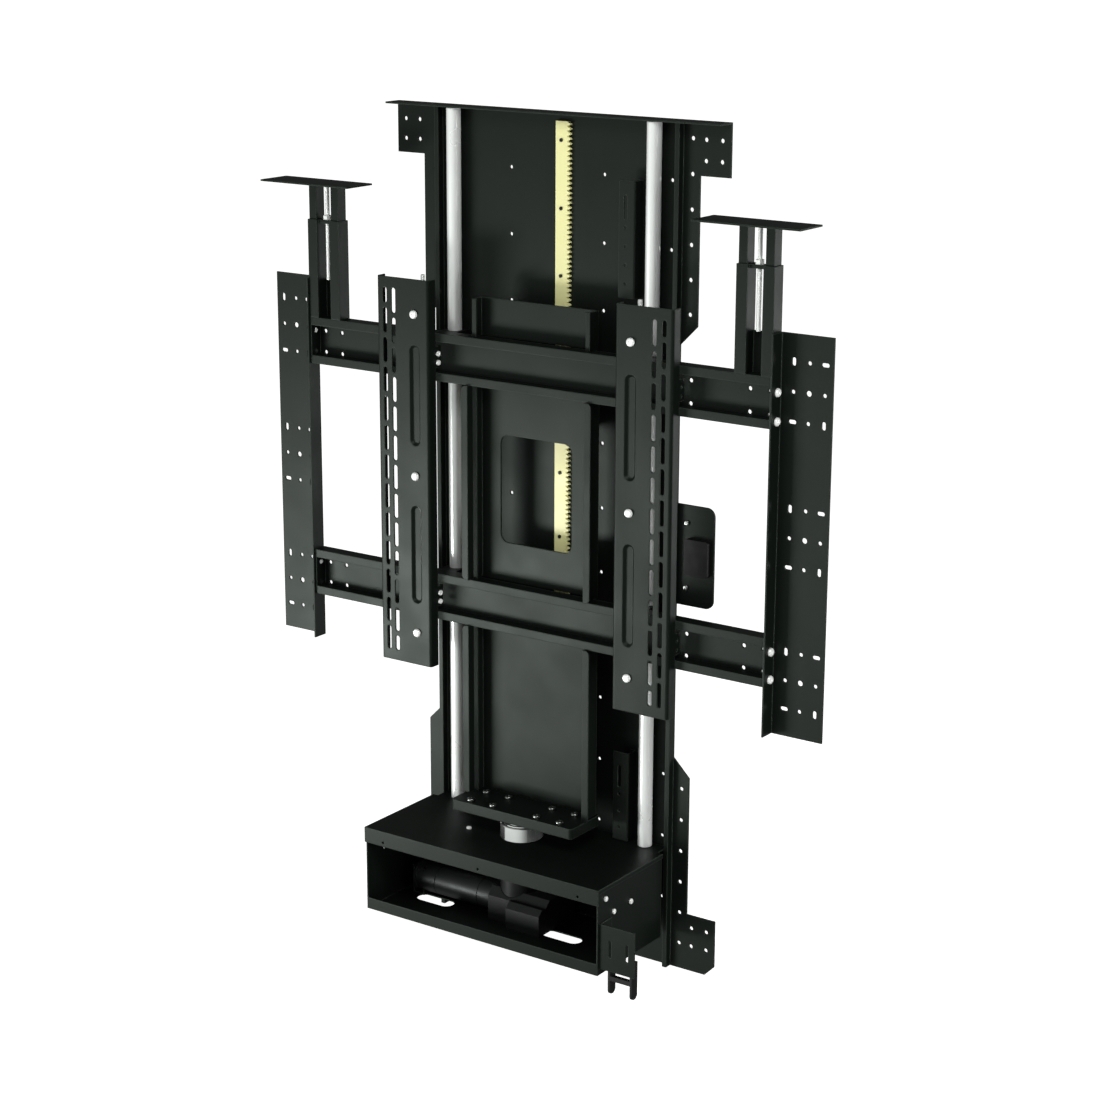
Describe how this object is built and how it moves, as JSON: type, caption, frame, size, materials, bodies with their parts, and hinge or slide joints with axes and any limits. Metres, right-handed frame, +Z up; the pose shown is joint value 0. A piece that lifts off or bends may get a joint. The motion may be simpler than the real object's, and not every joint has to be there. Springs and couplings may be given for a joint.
{
  "type": "electric tv lift",
  "caption": "Wall-hung electric screen lift: back frame with chrome guide rails and toothed rack, telescopic spindle drive box, and a carriage of beams, slotted brackets, wings and masts.",
  "frame": {"origin": "middle of the back plate's bottom edge, on the wall plane", "axes": "+X to the viewer's right, +Y into the wall, +Z up along the travel"},
  "size_m": [1.093, 0.226, 1.415],
  "materials": {
    "black_steel": "near-black fine-textured powder coat, satin",
    "chrome_rail": "ground and hard-chromed",
    "spindle_steel": "turned bright",
    "motor_steel": "satin plated",
    "cast_grey": "dark cast housing",
    "zinc": "bright zinc plate",
    "dark_steel": "blackened",
    "rack_plastic": "cream nylon",
    "black_plastic": "moulded, matte"
  },
  "bodies": {
    "frame": {"wall_frame": "black_steel", "guide_rail_left": "chrome_rail", "guide_rail_right": "chrome_rail", "gear_rack": "rack_plastic", "rack_screws": "dark_steel", "limit_strip_upper": "black_steel", "limit_strip_lower": "black_steel", "socket_plate": "black_steel", "socket_box": "black_plastic", "socket_screws": "zinc", "drive_tray": "black_steel", "drive_lid": "black_steel", "drive_box_screws": "zinc", "drive_motor": "motor_steel", "motor_bracket": "black_steel", "worm_gearbox": "cast_grey", "spindle_sleeve": "spindle_steel", "chain_bracket": "black_steel", "chain_end_link": "black_plastic"},
    "carriage": {"spindle_stage_upper": "spindle_steel", "foot_plate": "black_steel", "foot_bolts": "zinc", "carriage_panel_upper": "black_steel", "carriage_panel_middle": "black_steel", "carriage_panel_lower": "black_steel", "panel_cheek_left_upper": "black_steel", "panel_cheek_left_lower": "black_steel", "panel_cheek_right_upper": "black_steel", "panel_cheek_right_lower": "black_steel", "cross_beam_upper": "black_steel", "cross_beam_lower": "black_steel", "beam_ledge_upper_top": "black_steel", "beam_ledge_upper_bottom": "black_steel", "beam_ledge_lower_top": "black_steel", "beam_ledge_lower_bottom": "black_steel", "rail_bearing_left_upper": "black_plastic", "rail_bearing_left_lower": "black_plastic", "rail_bearing_right_upper": "black_plastic", "rail_bearing_right_lower": "black_plastic", "brake_housing": "cast_grey", "screen_bracket_left": "black_steel", "screen_bracket_right": "black_steel", "bracket_bolts": "zinc", "clamp_screws": "zinc", "levelling_screws": "zinc", "wing_plate_left": "black_steel", "wing_plate_right": "black_steel", "wing_bolts": "dark_steel", "mast_sleeve_left": "black_steel", "mast_sleeve_right": "black_steel", "mast_nuts": "zinc"},
    "stage_lower": {"spindle_stage_lower": "spindle_steel"},
    "stage_middle": {"spindle_stage_middle": "spindle_steel"},
    "pinion": {"brake_pinion": "zinc"},
    "mast_left": {"mast_top_left": "black_steel", "mast_rod_left": "zinc"},
    "mast_right": {"mast_top_right": "black_steel", "mast_rod_right": "zinc"}
  },
  "joints": [
    {"name": "lift", "type": "slide", "parent": "frame", "child": "carriage", "axis": [0, 0, 1], "range_m": [0, 0.3]},
    {"name": "stage_lower_slide", "type": "slide", "parent": "frame", "child": "stage_lower", "axis": [0, 0, 1], "range_m": [0, 0.1]},
    {"name": "stage_middle_slide", "type": "slide", "parent": "frame", "child": "stage_middle", "axis": [0, 0, 1], "range_m": [0, 0.2]},
    {"name": "pinion_spin", "type": "hinge", "parent": "carriage", "child": "pinion", "pos_m": [0.04685, -0.03, 0.93269], "axis": [0, -1, 0], "range_deg": [0, 860]},
    {"name": "mast_left_slide", "type": "slide", "parent": "carriage", "child": "mast_left", "axis": [0, 0, 1], "range_m": [-0.055, 0.05]},
    {"name": "mast_right_slide", "type": "slide", "parent": "carriage", "child": "mast_right", "axis": [0, 0, 1], "range_m": [-0.055, 0.05]}
  ],
  "couplings": [
    {"joint": "stage_lower_slide", "follows": "lift", "ratio": 0.33333},
    {"joint": "stage_middle_slide", "follows": "lift", "ratio": 0.66667},
    {"joint": "pinion_spin", "follows": "lift", "rad_per_m": 50}
  ]
}
